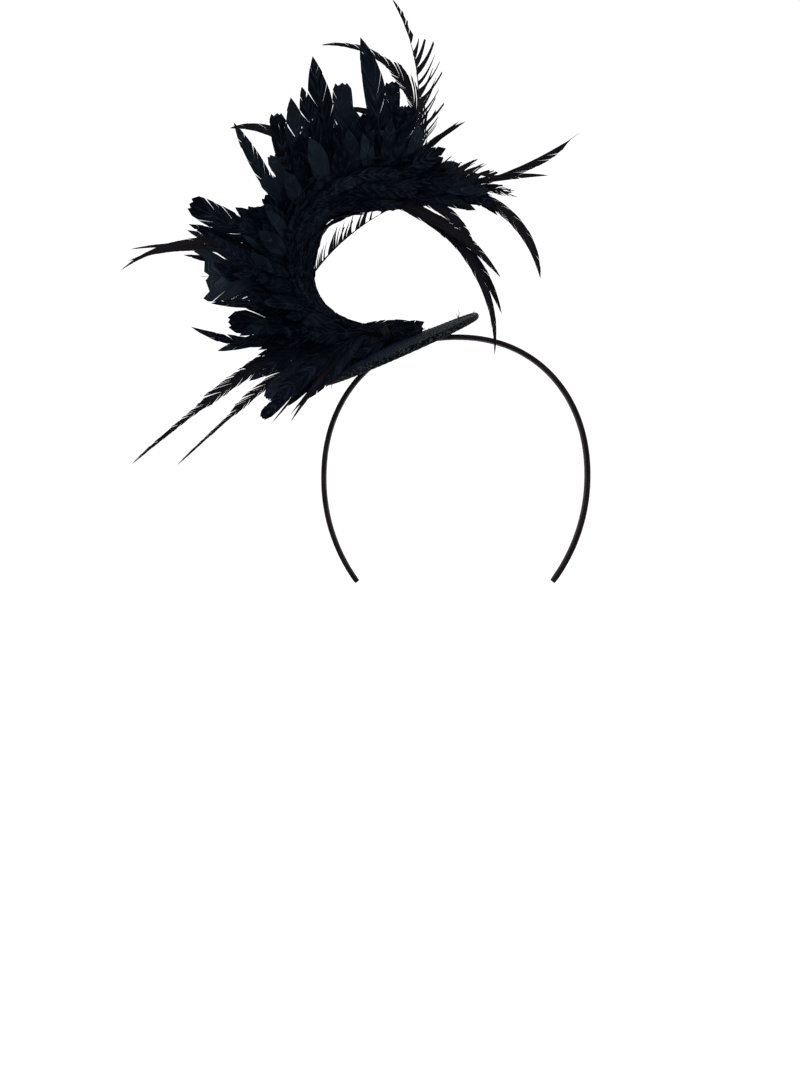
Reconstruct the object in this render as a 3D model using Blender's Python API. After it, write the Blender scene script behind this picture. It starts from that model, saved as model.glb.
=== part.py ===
# Feather fascinator: a curl of black feathers on a small domed disc, carried by a thin headband.
# Metres and degrees. X is the wearer's side to side, as seen from the front, -Y is the front and +Z is up.
# The origin is the underside of the headband at its crown.
import math

import bmesh
import bpy
from mathutils import Matrix, Vector

for old in list(bpy.data.objects):
    bpy.data.objects.remove(old, do_unlink=True)

# Headband
band_span = 0.1552
band_rise = 0.0828
band_drop = 0.060
band_leg_radius = 0.103
band_squareness = 2.15
band_width = 0.007
band_thickness = 0.0028
band_tip_share = 0.45

# Disc and its rolled edge
disc_radius = 0.0452
disc_thickness = 0.0016
disc_dome = 0.0033
disc_roll = 23.5
disc_pitch = 7.0
rim_thickness = 0.0038
rim_cover = 0.0010

# The curl that the feathers follow, a superellipse from the foot round to the tail
curl_half_width = 0.060
curl_half_height = 0.040
curl_squareness = 2.5
curl_start = 267.0
curl_end = 35.0
foot_slide = 0.0045

# The roll of bound feather butts along the curl
butt_radius = 0.013
foot_share = 0.036
tail_share = 0.785

# Thread round the foot
thread_size = 0.0011
thread_turns = 4
thread_place = 0.056
thread_groove_share = 0.4

# Feathers
feather_length = 0.070
feather_width = 0.015
feather_thickness = 0.0012

# Fits
seat_gap = 0.0003

# Roll of butts: where along the curl, and the radius as a share of butt_radius
butt_sections = (
    (0.00, 0.18),
    (0.06, 0.20),
    (0.12, 0.26),
    (0.20, 0.44),
    (0.30, 0.72),
    (0.42, 1.00),
    (0.60, 1.00),
    (0.75, 0.92),
    (0.86, 0.66),
    (0.95, 0.36),
    (1.00, 0.16),
)

# Feather outlines: how far along, and the width as a share of the feather's own
outlines = {
    "spear": ((0.0, 0.30), (0.35, 0.55), (0.68, 1.00), (0.82, 0.72), (1.0, 0.08)),
    "lobed": ((0.0, 0.35), (0.30, 0.70), (0.75, 1.00), (0.93, 0.80), (1.0, 0.30)),
    "leaf": ((0.0, 0.30), (0.30, 0.80), (0.60, 1.00), (0.85, 0.62), (1.0, 0.10)),
    "hackle": ((0.0, 0.60), (0.25, 1.00), (0.60, 0.80), (0.90, 0.35), (1.0, 0.10)),
}

# Single feathers that show in the outline: root along the curl, heading and turn in the front view,
# fan towards the front, length and width as shares of feather_length and feather_width, outline and roll
single_columns = ("at", "heading", "turn", "fan", "length", "width", "outline", "roll")
crescent_singles = (
    (0.142, 233, -5, 22, 0.90, 0.35, "hackle", 10),
    (0.156, 240, -24, 17, 1.00, 0.32, "hackle", -10),
    (0.122, 215, 5, 33, 1.02, 0.90, "leaf", 8),
    (0.148, 224, 3, 27, 1.00, 0.70, "lobed", -8),
    (0.188, 221, 9, 6, 1.00, 0.45, "lobed", 5),
    (0.197, 223, -6, -8, 1.78, 0.36, "hackle", -4),
    (0.219, 213, 6, 10, 1.86, 0.42, "hackle", 3),
    (0.227, 204, 2, 1, 0.78, 0.42, "spear", -15),
    (0.206, 209, -48, 15, 1.18, 0.40, "spear", 12),
    (0.170, 175, 0, 26, 1.02, 0.85, "lobed", -12),
    (0.265, 154, -2, 20, 1.02, 1.60, "lobed", 8),
    (0.335, 168, 0, -15, 0.97, 0.32, "hackle", 0),
    (0.350, 150, 60, 12, 1.46, 0.34, "hackle", 5),
    (0.370, 162, 0, 8, 0.95, 0.55, "spear", -10),
    (0.370, 148, 10, 18, 0.98, 1.20, "leaf", 12),
    (0.400, 146, 0, -18, 0.56, 1.00, "lobed", -12),
    (0.430, 126, -8, 4, 1.02, 0.60, "spear", 10),
    (0.440, 78, 93, -20, 1.20, 0.34, "hackle", 0),
    (0.500, 106, -9, 10, 0.92, 1.05, "spear", -8),
    (0.560, 102, -3, -6, 1.06, 1.00, "spear", 8),
    (0.595, 98, -4, 14, 0.84, 0.80, "lobed", -10),
    (0.670, 92, 8, 6, 1.14, 0.80, "spear", 5),
    (0.710, 90, 4, -8, 0.84, 0.75, "lobed", 15),
    (0.728, 66, 46, 4, 1.46, 0.45, "hackle", 4),
    (0.719, 61, 111, -13, 1.62, 0.45, "hackle", -3),
    (0.640, 33, 0, 30, 0.86, 1.00, "leaf", 5),
    (0.665, 32, -4, 17, 0.84, 0.34, "hackle", 2),
)
foot_singles = (
    (0.026, 19, -2, 10, 0.38, 0.46, "spear", 10),
    (0.019, 26, -4, -9, 0.32, 0.42, "leaf", -10),
    (0.013, 22, 0, 33, 0.27, 0.40, "leaf", 14),
    (0.010, 36, 0, -35, 0.21, 0.40, "leaf", -14),
)
tail_singles = (
    (0.800, 328, -54, 8, 1.38, 0.32, "hackle", 0),
    (0.806, 338, -44, -8, 1.04, 0.50, "leaf", 4),
    (0.820, 312, -14, -12, 1.16, 0.30, "hackle", 8),
    (0.812, 302, 28, 24, 0.92, 0.30, "hackle", -8),
    (0.865, 7, 26, -6, 1.22, 0.48, "hackle", 5),
    (0.890, 357, 3, 18, 0.62, 0.34, "hackle", 10),
    (0.830, 346, 2, 30, 0.56, 0.50, "spear", -10),
    (0.910, 2, -88, 6, 1.06, 0.42, "hackle", 0),
    (0.850, 14, 6, 34, 0.50, 0.60, "leaf", 12),
    (0.850, 14, 6, -34, 0.50, 0.60, "leaf", -12),
)

# Ranks of body feathers, laid in even steps on the front and again on the back. From one side to the
# other a rank's roots and headings differ a little, and every other feather in it lies more tilted
rank_side_step = 0.006
rank_side_splay = 3
rank_tilts = (-6, 18)
rank_columns = (
    "count", "from", "to", "first_heading", "last_heading", "turn", "fan", "length", "width", "outline"
)
crescent_ranks = (
    (5, 0.11, 0.25, 197, 172, 6, 22, 0.84, 1.10, "leaf"),
    (5, 0.27, 0.44, 166, 128, 6, 30, 0.70, 1.20, "leaf"),
    (6, 0.47, 0.705, 116, 72, -4, 28, 0.76, 0.90, "lobed"),
    (7, 0.14, 0.72, 186, 74, 0, 58, 0.52, 1.10, "leaf"),
)


def named_rows(columns, rows):
    return [dict(zip(columns, row)) for row in rows]


def between(pairs, at):
    """Reads a table of (place, value) pairs, with straight lines from row to row."""
    for (low, first), (high, last) in zip(pairs, pairs[1:]):
        if at <= high:
            share = max(0.0, (at - low) / (high - low))
            return first + (last - first) * share
    return pairs[-1][1]


def finish(name, mesh, smooth=False, home=bpy.context.scene.collection):
    bmesh.ops.recalc_face_normals(mesh, faces=mesh.faces)
    data = bpy.data.meshes.new(name)
    mesh.to_mesh(data)
    mesh.free()
    solid = bpy.data.objects.new(name, data)
    home.objects.link(solid)
    for face in data.polygons:
        face.use_smooth = smooth
    return solid


def add_sheet(mesh, along, across, place):
    """Adds a grid and sends each of its corners, as shares along and across, to place."""
    made = bmesh.ops.create_grid(mesh, x_segments=along, y_segments=across, size=0.5)["verts"]
    for vert in made:
        vert.co = place(vert.co.x + 0.5, vert.co.y + 0.5)
    return made


def closed_tube(along, around, place):
    """A grid rolled up into a tube, with its seam joined and any open end filled."""
    mesh = bmesh.new()
    add_sheet(mesh, along, around, place)
    bmesh.ops.remove_doubles(mesh, verts=mesh.verts, dist=1e-6)
    bmesh.ops.holes_fill(mesh, edges=mesh.edges, sides=0)
    return mesh


def hide_helper(helper):
    helper.hide_render = True
    helper.display_type = "WIRE"


def cut(solid, cutter):
    hide_helper(cutter)
    step = solid.modifiers.new(cutter.name, "BOOLEAN")
    step.operation = "DIFFERENCE"
    step.solver = "EXACT"
    step.object = cutter


def paint(solid, name, colour, roughness):
    material = bpy.data.materials.new(name)
    material.use_nodes = True
    shader = material.node_tree.nodes["Principled BSDF"]
    shader.inputs["Base Color"].default_value = (*colour, 1.0)
    shader.inputs["Roughness"].default_value = roughness
    solid.data.materials.append(material)


def signed_power(value, power):
    return math.copysign(abs(value) ** power, value)


# Headband: from the left leg's end, over the crown, to the right leg's end
leg_sweep = math.asin(band_drop / band_leg_radius)
leg_length = band_leg_radius * leg_sweep
arch_length = math.pi / 2 * (band_span / 2 + band_rise)
band_length = leg_length * 2 + arch_length
leg_share = leg_length / band_length


def band_spot(share):
    """Centre of the band's thickness, and the way out of the arch, at a share of its path."""
    half = band_span / 2 - band_thickness / 2
    rise = band_rise - band_thickness / 2
    centre_z = band_thickness - band_rise
    side = -1 if share < 0.5 else 1
    end_share = min(share, 1 - share)
    if end_share < leg_share:
        sweep = leg_sweep * (1 - end_share / leg_share)
        radius = band_leg_radius - band_thickness / 2
        x = half - radius * (1 - math.cos(sweep))
        z = centre_z - radius * math.sin(sweep)
        out = Vector((side * math.cos(sweep), 0, -math.sin(sweep)))
        return Vector((side * x, 0, z)), out
    angle = math.pi / 2 * (end_share - leg_share) / (0.5 - leg_share)
    x = half * signed_power(math.cos(angle), 2 / band_squareness)
    z = rise * signed_power(math.sin(angle), 2 / band_squareness)
    slope_power = 2 - 2 / band_squareness
    out_x = signed_power(math.cos(angle), slope_power) / half
    out_z = signed_power(math.sin(angle), slope_power) / rise
    return Vector((side * x, 0, centre_z + z)), Vector((side * out_x, 0, out_z)).normalized()


def band_point(share, turn):
    centre, out = band_spot(share)
    angle = 2 * math.pi * turn
    to_end = min(share, 1 - share) * band_length
    narrowing = min(1.0, band_tip_share + (1 - band_tip_share) * math.sqrt(to_end / (band_width / 2)))
    wide = band_width / 2 * narrowing * signed_power(math.cos(angle), 0.5)
    thick = band_thickness / 2 * signed_power(math.sin(angle), 0.5)
    return centre + Vector((0, wide, 0)) + out * thick


headband = finish("headband", closed_tube(64, 10, band_point), smooth=True)
paint(headband, "black_satin", (0.012, 0.010, 0.011), 0.42)


# Disc: where it touches the band, its turn and its own axes
def band_contact():
    """Place on the band's outer face whose slope is the disc's roll."""
    steps = 400
    spots = [band_spot(leg_share + (0.5 - leg_share) * step / steps) for step in range(steps + 1)]
    roll_out = Vector((-math.sin(math.radians(disc_roll)), 0, math.cos(math.radians(disc_roll))))
    centre, out = max(spots, key=lambda spot: spot[1].dot(roll_out))
    return centre + out * band_thickness / 2


disc_lean = Matrix.Rotation(-math.radians(disc_roll), 3, "Y")
disc_turn = disc_lean @ Matrix.Rotation(math.radians(disc_pitch), 3, "X")
disc_up = disc_turn @ Vector((0, 0, 1))
disc_right = disc_turn @ Vector((1, 0, 0))
tilt_lift = band_width / 2 * math.sin(math.radians(disc_pitch))
disc_centre = band_contact() + disc_up * (seat_gap + tilt_lift + disc_thickness / 2)


def disc_point(radius, turn, lift):
    """A point on the domed disc's middle surface, raised by lift, at a distance from the disc's axis."""
    angle = 2 * math.pi * turn
    drop = disc_dome * (radius / disc_radius) ** 2
    flat = Vector((radius * math.cos(angle), radius * math.sin(angle), lift - drop))
    return disc_centre + disc_turn @ flat


def disc_body(radius, half_thickness, rounds):
    """The disc out to a radius: over the top from the middle, down the edge and back underneath."""
    stages = rounds * 2 + 1

    def place(share, turn):
        stage = round(share * stages)
        top = stage <= rounds
        reach = radius * (stage if top else stages - stage) / rounds
        return disc_point(reach, turn, half_thickness if top else -half_thickness)

    return closed_tube(stages, 48, place)


base_disc = finish("base_disc", disc_body(disc_radius, disc_thickness / 2, 4), smooth=True)
paint(base_disc, "black_weave", (0.010, 0.012, 0.014), 0.75)


# Rolled edge: a ring round the disc, grooved to take the disc's edge
def rim_point(turn, around):
    angle = 2 * math.pi * turn
    centre_radius = disc_radius + rim_thickness / 2 - rim_cover
    reach = centre_radius + rim_thickness / 2 * math.cos(angle)
    level = disc_point(disc_radius, around, 0.0)
    outward = disc_point(disc_radius * 2, around, disc_dome * 3) - level
    outward.normalize()
    return level + outward * (reach - disc_radius) + disc_up * rim_thickness / 2 * math.sin(angle)


rim_binding = finish("rim_binding", closed_tube(10, 48, rim_point), smooth=True)
rim_groove = finish("rim_groove", disc_body(disc_radius + seat_gap, disc_thickness / 2 + seat_gap, 4))
cut(rim_binding, rim_groove)
paint(rim_binding, "black_bias_edge", (0.009, 0.010, 0.012), 0.68)


# Curl: starts just above the disc, at the height that the thread and the roll of butts need
def butt_size(at):
    return butt_radius * between(butt_sections, at)


def curl_offset(at):
    angle = math.radians(curl_start + (curl_end - curl_start) * at)
    across = abs(math.cos(angle) / curl_half_width) ** curl_squareness
    upward = abs(math.sin(angle) / curl_half_height) ** curl_squareness
    reach = (across + upward) ** (-1 / curl_squareness)
    return Vector((reach * math.cos(angle), 0, reach * math.sin(angle)))


foot_lift = disc_thickness / 2 + seat_gap * 2 + thread_size + butt_size(0)
curl_foot = disc_centre + disc_up * foot_lift + disc_right * foot_slide
curl_centre = Vector((curl_foot.x, 0, curl_foot.z)) - curl_offset(0)


def curl_pace(at):
    """The way along the curl, as long as the curl would be at this pace from end to end."""
    step = 0.004
    return (curl_offset(at + step) - curl_offset(at - step)) / (step * 2)


def curl_spot(at):
    """Point on the curl, the way along it and the way out of it, away from the opening."""
    forward = curl_pace(at).normalized()
    outward = Vector((-forward.z, 0, forward.x))
    return curl_centre + curl_offset(at), forward, outward


def curl_ring(at, turn, radius):
    centre, _, outward = curl_spot(at)
    angle = 2 * math.pi * turn
    return centre + (outward * math.cos(angle) + Vector((0, math.sin(angle), 0))) * radius


def butt_roll(name, start, end, steps):
    def place(share, turn):
        at = start + (end - start) * share
        return curl_ring(at, turn, butt_size(at))

    return finish(name, closed_tube(steps, 12, place))


# Feathers: each is a thin bent blade, rooted in the roll of butts
def feather_way(row, share):
    """The way along a feather's shaft, and the way across it in the front view."""
    heading = math.radians(row["heading"] + row["turn"] * share)
    tilt = math.radians(row["fan"])
    flat = Vector((math.cos(heading), 0, math.sin(heading)))
    across = Vector((-math.sin(heading), 0, math.cos(heading)))
    return flat * math.cos(tilt) - Vector((0, math.sin(tilt), 0)), across


def feather_spot(row, share):
    """Place along a feather's shaft, the way along it and the way across its blade."""
    steps = 12
    length = row["length"] * feather_length
    place = curl_spot(row["at"])[0]
    for step in range(steps):
        forward, _ = feather_way(row, share * (step + 0.5) / steps)
        place = place + forward * length * share / steps
    forward, across = feather_way(row, share)
    return place, forward, Matrix.Rotation(math.radians(row["roll"]), 3, forward) @ across


def feather(name, row, steps, home):
    width = max(row["width"] * feather_width, feather_thickness * 2)

    def place(share, side):
        spot, forward, across = feather_spot(row, share)
        half = width / 2 * between(outlines[row["outline"]], share)
        half = max(half, feather_thickness / 2)
        face = forward.cross(across)
        return spot + across * half * (2 * side - 1) + face * feather_thickness / 2

    mesh = bmesh.new()
    add_sheet(mesh, steps, 1, place)
    mesh.normal_update()
    sheet = mesh.faces[:] + mesh.edges[:] + mesh.verts[:]
    bmesh.ops.solidify(mesh, geom=sheet, thickness=feather_thickness)
    bmesh.ops.triangulate(mesh, faces=mesh.faces)
    return finish(name, mesh, home=home)


def rank_rows(rows):
    """Spreads each rank into single feathers, on the front and on the back."""
    spread = []
    for rank in named_rows(rank_columns, rows):
        for index in range(rank["count"]):
            share = index / (rank["count"] - 1)
            at = rank["from"] + (rank["to"] - rank["from"]) * share
            heading = rank["first_heading"] + (rank["last_heading"] - rank["first_heading"]) * share
            for side in (1, -1):
                row = {key: rank[key] for key in ("turn", "length", "width", "outline")}
                row["at"] = at + rank_side_step * side
                row["heading"] = heading + rank_side_splay * side
                row["fan"] = rank["fan"] * side
                row["roll"] = rank_tilts[index % 2] * side
                spread.append(row)
    return spread


def feather_bunch(name, start, end, steps, rows):
    """A roll of butts and its feathers, joined into one body."""
    bunch = butt_roll(name, start, end, steps)
    blades = bpy.data.collections.new(name + "_blades")
    bpy.context.scene.collection.children.link(blades)
    for number, row in enumerate(rows):
        blade = feather(f"{name}_blade_{number}", row, 6, blades)
        hide_helper(blade)
    step = bunch.modifiers.new("join_blades", "BOOLEAN")
    step.operation = "UNION"
    step.solver = "EXACT"
    step.operand_type = "COLLECTION"
    step.collection = blades
    return bunch


half_gap = seat_gap / (2 * math.pi * curl_half_width)
crescent_rows = named_rows(single_columns, crescent_singles) + rank_rows(crescent_ranks)
foot_spray = feather_bunch(
    "foot_spray", 0, foot_share - half_gap, 3, named_rows(single_columns, foot_singles)
)
feather_crescent = feather_bunch(
    "feather_crescent", foot_share + half_gap, tail_share - half_gap, 28, crescent_rows
)
tail_spray = feather_bunch(
    "tail_spray", tail_share + half_gap, 1, 7, named_rows(single_columns, tail_singles)
)
paint(foot_spray, "black_feather_foot", (0.008, 0.011, 0.014), 0.55)
paint(feather_crescent, "black_feather_body", (0.006, 0.009, 0.012), 0.5)
paint(tail_spray, "black_feather_hackle", (0.011, 0.009, 0.010), 0.6)


# Thread: turns wound side by side round the foot of the roll and down to the disc
thread_centre, thread_forward, _ = curl_spot(thread_place)
disc_left = -disc_right
disc_front = disc_turn @ Vector((0, -1, 0))
thread_slant = thread_forward.angle(disc_left)
thread_span = thread_size * thread_turns
thread_from_disc = thread_centre - disc_centre
thread_out_from_middle = (thread_from_disc - disc_up * thread_from_disc.dot(disc_up)).length
thread_height = (
    thread_from_disc.dot(disc_up)
    + disc_dome * (thread_out_from_middle / disc_radius) ** 2
    - disc_thickness / 2
    - seat_gap
)
thread_share = thread_span / curl_pace(thread_place).length
thread_bore = (
    butt_size(thread_place + thread_share) / math.cos(thread_slant)
    + thread_span / 2 * math.tan(thread_slant)
    + seat_gap
)
outer_stages = thread_turns * 2


def thread_point(share, turn):
    """Over the turns of thread from end to end, then back through the bore to the start."""
    stage = round(share * (outer_stages + 3)) % (outer_stages + 3)
    angle = 2 * math.pi * turn
    away = disc_up * -math.cos(angle) + disc_front * math.sin(angle)
    if stage > outer_stages:
        end = 0.5 if stage == outer_stages + 1 else -0.5
        return thread_centre + disc_left * thread_span * end + away * thread_bore
    low = max(0.0, math.cos(angle)) ** 2
    outer = thread_bore + thread_size + (thread_height - thread_bore - thread_size) * low
    groove = 0.0 if stage % 2 else thread_size * thread_groove_share
    return thread_centre + disc_left * thread_span * (stage / outer_stages - 0.5) + away * (outer - groove)


foot_binding = finish("foot_binding", closed_tube(outer_stages + 3, 16, thread_point), smooth=True)
paint(foot_binding, "black_thread", (0.014, 0.014, 0.016), 0.7)
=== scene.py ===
import math
import random

import bmesh
import bpy
from mathutils import Matrix, Vector


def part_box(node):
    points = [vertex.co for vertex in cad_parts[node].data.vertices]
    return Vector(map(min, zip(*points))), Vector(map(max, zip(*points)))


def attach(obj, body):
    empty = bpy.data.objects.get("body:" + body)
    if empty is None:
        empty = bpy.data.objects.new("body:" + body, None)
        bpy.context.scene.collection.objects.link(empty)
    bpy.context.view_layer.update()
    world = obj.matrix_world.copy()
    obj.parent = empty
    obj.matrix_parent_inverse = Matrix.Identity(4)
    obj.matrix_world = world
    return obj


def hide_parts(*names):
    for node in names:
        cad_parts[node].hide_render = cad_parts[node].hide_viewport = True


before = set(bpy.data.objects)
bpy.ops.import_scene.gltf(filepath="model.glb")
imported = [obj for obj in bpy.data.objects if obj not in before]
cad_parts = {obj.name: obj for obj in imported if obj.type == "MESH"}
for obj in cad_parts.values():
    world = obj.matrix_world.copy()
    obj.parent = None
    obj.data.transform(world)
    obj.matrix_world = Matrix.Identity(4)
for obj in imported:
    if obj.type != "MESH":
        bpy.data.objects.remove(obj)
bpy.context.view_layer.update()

# A black feather fascinator: a curl of broad feathers and thin hackles on a small woven disc, on a headband.
# Metres and degrees in the row frame: X is side to side, -Y is the front and +Z is up.

scene = bpy.context.scene


# Shared mesh tools. A place function turns two shares, each from 0 to 1, into a spot
weldDistance = 1e-7
perMetre = 1000  # the barbs map is in millimetres
xAxis, yAxis, zAxis = Vector((1, 0, 0)), Vector((0, 1, 0)), Vector((0, 0, 1))


def addSheet(mesh, grid, place):
    made = bmesh.ops.create_grid(mesh, x_segments=grid[0], y_segments=grid[1], size=0.5)["verts"]
    shares = {vert: (vert.co.x + 0.5, vert.co.y + 0.5) for vert in made}
    for vert, (first, second) in shares.items():
        vert.co = place(first, second)
    return shares


def meshData(name, mesh):
    data = bpy.data.meshes.new(name)
    mesh.to_mesh(data)
    mesh.free()
    return data


def addPart(mesh, part):
    data = meshData("part", part)
    mesh.from_mesh(data)
    bpy.data.meshes.remove(data)


def addObject(name, data):
    made = bpy.data.objects.new(name, data)
    scene.collection.objects.link(made)
    return made


def addTube(mesh, grid, place, length=1.0, girth=1.0, materialIndex=0):
    # grid: the steps along the tube and the steps round it
    part = bmesh.new()
    layer = part.loops.layers.uv.new("barbs")
    for vert, (first, second) in addSheet(part, grid, place).items():
        for loop in vert.link_loops:
            loop[layer].uv = (first * length * perMetre, second * girth * perMetre)
    bmesh.ops.remove_doubles(part, verts=part.verts, dist=weldDistance)
    bmesh.ops.holes_fill(part, edges=part.edges, sides=0)
    bmesh.ops.recalc_face_normals(part, faces=part.faces)
    for face in part.faces:
        face.material_index = materialIndex
    addPart(mesh, part)


def makePiece(name, mesh, materials, slotName, replaced, thickness=0.0):
    data = meshData(name, mesh)
    data.polygons.foreach_set("use_smooth", [True] * len(data.polygons))
    for material in materials:
        data.materials.append(material)
    piece = addObject(name, data)
    if thickness:
        step = piece.modifiers.new("thickness", "SOLIDIFY")
        step.thickness = thickness
        step.offset = 0
        piece.modifiers.new("evenShading", "WEIGHTED_NORMAL")
    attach(piece, "root")
    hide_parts(replaced)
    print("made", name)


def turned(first, second, turn):
    angle = 2 * math.pi * turn
    return first * math.cos(angle) + second * math.sin(angle)


def headed(heading, fan):
    # A way in the front view, leant towards the front by fan
    level = math.cos(math.radians(fan))
    way = math.radians(heading)
    return Vector((math.cos(way) * level, -math.sin(math.radians(fan)), math.sin(way) * level))


def between(pairs, at):
    for (low, first), (high, last) in zip(pairs, pairs[1:]):
        if at <= high:
            share = max(0.0, (at - low) / (high - low))
            return first + (last - first) * share
    return pairs[-1][1]


def signedPower(value, power):
    return math.copysign(abs(value) ** power, value)


def namedRows(columns, rows):
    return [dict(zip(columns, row)) for row in rows]


def stray(dice, limit):
    return dice.uniform(-limit, limit)


# Shared shading tools
def newGroup(name, inputs, outputs):
    group = bpy.data.node_groups.new(name, "ShaderNodeTree")
    for label, kind in inputs:
        group.interface.new_socket(label, in_out="INPUT", socket_type=kind)
    for label, kind in outputs:
        group.interface.new_socket(label, in_out="OUTPUT", socket_type=kind)
    start = group.nodes.new("NodeGroupInput")
    end = group.nodes.new("NodeGroupOutput")
    return group, start, end


def setOrLink(tree, socket, value):
    if isinstance(value, bpy.types.NodeSocket):
        tree.links.new(value, socket)
    else:
        socket.default_value = value


def mathNode(tree, operation, *values):
    node = tree.nodes.new("ShaderNodeMath")
    node.operation = operation
    for socket, value in zip(node.inputs, values):
        setOrLink(tree, socket, value)
    return node.outputs[0]


def times(tree, first, second):
    return mathNode(tree, "MULTIPLY", first, second)


def mixColour(tree, factor, first, second):
    node = tree.nodes.new("ShaderNodeMix")
    node.data_type = "RGBA"
    tree.links.new(factor, node.inputs[0])
    for socket, colour in ((node.inputs[6], first), (node.inputs[7], second)):
        setOrLink(tree, socket, (*colour, 1) if isinstance(colour, tuple) else colour)
    return node.outputs[2]


def mapRange(tree, value, low, high, newLow=0.0, newHigh=1.0):
    node = tree.nodes.new("ShaderNodeMapRange")
    tree.links.new(value, node.inputs[0])
    for index, number in enumerate((low, high, newLow, newHigh)):
        node.inputs[index + 1].default_value = number
    return node.outputs[0]


def noiseNode(tree, vector, scale, detail=2.0):
    node = tree.nodes.new("ShaderNodeTexNoise")
    node.inputs["Scale"].default_value = scale
    node.inputs["Detail"].default_value = detail
    tree.links.new(vector, node.inputs["Vector"])
    return node.outputs["Fac"]


def stretchedNoise(group, sources, look):
    spread = group.nodes.new("ShaderNodeCombineXYZ")
    for source, stretch, socket in zip(sources, look["stretch"], spread.inputs):
        group.links.new(times(group, source, stretch), socket)
    return noiseNode(group, spread.outputs[0], look["scale"], look["detail"])


# Barbs: fine lines that run from the shaft to the edge, and broad clumps of them. The map's first part goes
# along the shaft in millimetres and its second goes from the shaft to the edge
barbNoise = {
    "Lines": {"stretch": (3.2, 0.9, 37.0), "scale": 1.6, "detail": 3.0},
    "Clumps": {"stretch": (0.5, 0.6, 19.0), "scale": 1.3, "detail": 2.0},
}


def makeBarbGroup():
    group, start, end = newGroup(
        "barbLines",
        (("UV", "NodeSocketVector"), ("Seed", "NodeSocketFloat")),
        (("Lines", "NodeSocketFloat"), ("Clumps", "NodeSocketFloat")),
    )
    split = group.nodes.new("ShaderNodeSeparateXYZ")
    group.links.new(start.outputs["UV"], split.inputs[0])
    sources = (split.outputs[0], split.outputs[1], start.outputs["Seed"])
    for label, look in barbNoise.items():
        group.links.new(stretchedNoise(group, sources, look), end.inputs[label])
    return group


barbLines = makeBarbGroup()

# Plain weave: each crossing shows the thread that lies on top, with its round back, and slubs run along it
slub = {"stretch": (0.9, 0.12), "scale": 1.0, "detail": 2.0}


def makeWeaveGroup():
    group, start, end = newGroup(
        "plainWeave",
        (("Vector", "NodeSocketVector"), ("Pitch", "NodeSocketFloat")),
        (("Height", "NodeSocketFloat"), ("Slub", "NodeSocketFloat")),
    )
    split = group.nodes.new("ShaderNodeSeparateXYZ")
    group.links.new(start.outputs["Vector"], split.inputs[0])

    def roundBack(threads):
        return mathNode(group, "ABSOLUTE", mathNode(group, "SINE", times(group, threads, math.pi)))

    across = mathNode(group, "DIVIDE", split.outputs[0], start.outputs["Pitch"])
    along = mathNode(group, "DIVIDE", split.outputs[1], start.outputs["Pitch"])
    cells = mathNode(group, "ADD", mathNode(group, "FLOOR", across), mathNode(group, "FLOOR", along))
    onTop = mathNode(group, "PINGPONG", cells, 1.0)
    warpShown = times(group, roundBack(across), onTop)
    weftShown = times(group, roundBack(along), mathNode(group, "SUBTRACT", 1.0, onTop))
    group.links.new(mathNode(group, "ADD", warpShown, weftShown), end.inputs["Height"])
    group.links.new(stretchedNoise(group, (across, along), slub), end.inputs["Slub"])
    return group


plainWeave = makeWeaveGroup()


def newMaterial(name, look):
    material = bpy.data.materials.new(name)
    material.use_nodes = True
    shader = material.node_tree.nodes["Principled BSDF"]
    shader.inputs["Specular IOR Level"].default_value = look["specular"]
    return material, material.node_tree, shader


def barbsMap(tree):
    coords = tree.nodes.new("ShaderNodeUVMap")
    coords.uv_map = "barbs"
    return coords.outputs[0]


def toneMap(tree):
    tone = tree.nodes.new("ShaderNodeAttribute")
    tone.attribute_name = "tone"
    return tone.outputs["Fac"]


def objectNoise(tree, scale, detail=2.0):
    coords = tree.nodes.new("ShaderNodeTexCoord")
    return noiseNode(tree, coords.outputs["Object"], scale, detail)


def groupNode(tree, group):
    node = tree.nodes.new("ShaderNodeGroup")
    node.node_tree = group
    return node


def addRoughness(tree, shader, pattern, look):
    # The middle of a noise, where nearly all its values lie, spans the two roughness values
    rough = mapRange(tree, pattern, 0.3, 0.7, *look["roughness"])
    tree.links.new(rough, shader.inputs["Roughness"])


def addBump(tree, shader, height, distance):
    bump = tree.nodes.new("ShaderNodeBump")
    bump.inputs["Distance"].default_value = distance
    tree.links.new(height, bump.inputs["Height"])
    tree.links.new(bump.outputs[0], shader.inputs["Normal"])


def makeMottled(name, look):
    # One plain colour with small patches of a paler one
    material, tree, shader = newMaterial(name, look)
    patch = objectNoise(tree, look["scale"])
    tint = mixColour(tree, mapRange(tree, patch, *look["patch"]), look["dark"], look["pale"])
    tree.links.new(tint, shader.inputs["Base Color"])
    shader.inputs["Roughness"].default_value = look["roughness"]
    if look["depth"]:
        addBump(tree, shader, patch, look["depth"])
    return material


# Feather looks. cool and warm: the colours of the darkest and palest feathers, which start at paleFrom of
# their tone. streak: a painted highlight, the shine on single barbs put into the colour. glance: a painted
# sheen, the colour mixed in where a feather is seen at a low angle
broadLook = {
    "cool": (0.0002, 0.0006, 0.0026),
    "warm": (0.0052, 0.0080, 0.0122),
    "paleFrom": 0.55,
    "paintedShine": (0.0270, 0.0380, 0.0600),
    "paintedSheen": (0.0060, 0.0130, 0.0210),
    "roughness": (0.40, 0.62),
    "specular": 0.015,
}
hackleLook = {
    "cool": (0.0018, 0.0018, 0.0042),
    "warm": (0.0044, 0.0034, 0.0048),
    "paleFrom": 0.0,
    "paintedShine": (0.0180, 0.0158, 0.0200),
    "paintedSheen": (0.0060, 0.0058, 0.0090),
    "roughness": (0.40, 0.62),
    "specular": 0.025,
}
barbLook = {"paintedShineSpan": (0.50, 0.72), "clumpSpan": (0.42, 0.70), "paintedSheenBlend": 0.35, "depth": 0.00025}
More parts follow.
